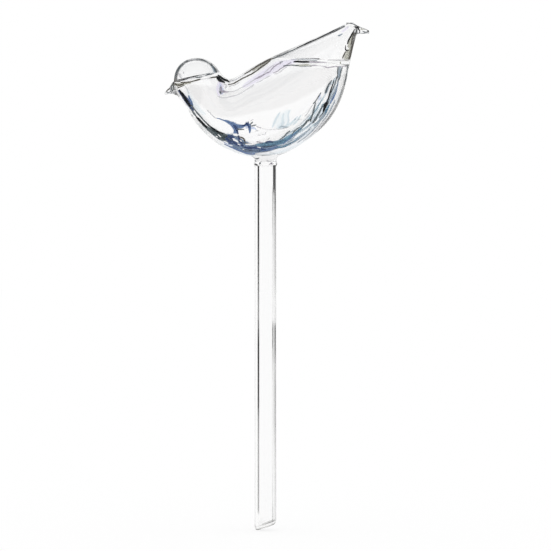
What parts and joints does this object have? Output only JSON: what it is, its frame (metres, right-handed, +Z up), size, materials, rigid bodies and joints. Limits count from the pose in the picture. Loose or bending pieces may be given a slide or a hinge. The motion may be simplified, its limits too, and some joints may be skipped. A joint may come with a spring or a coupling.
{
  "type": "plant watering globe",
  "caption": "Clear glass plant waterer: a hollow bird-shaped bulb holding water, fused to a long hollow stem whose slanted open end is pushed into potting soil.",
  "frame": {"origin": "on the stem's axis, level with the lowest point of its slanted open end", "axes": "+Z up along the stem towards the bird, +X towards the bird's tail, -X towards its beak, Y across its width"},
  "size_m": [0.1138, 0.0516, 0.2801],
  "materials": {
    "blown_glass": "polished",
    "drawn_glass": "polished",
    "weld_glass": "polished",
    "tube_glass": "polished",
    "water": "polished"
  },
  "bodies": {
    "root": {"bird_body": "blown_glass", "beak": "drawn_glass", "tail_tip": "drawn_glass", "neck_weld": "weld_glass", "stem_tube": "tube_glass", "water_fill": "water"}
  },
  "joints": []
}
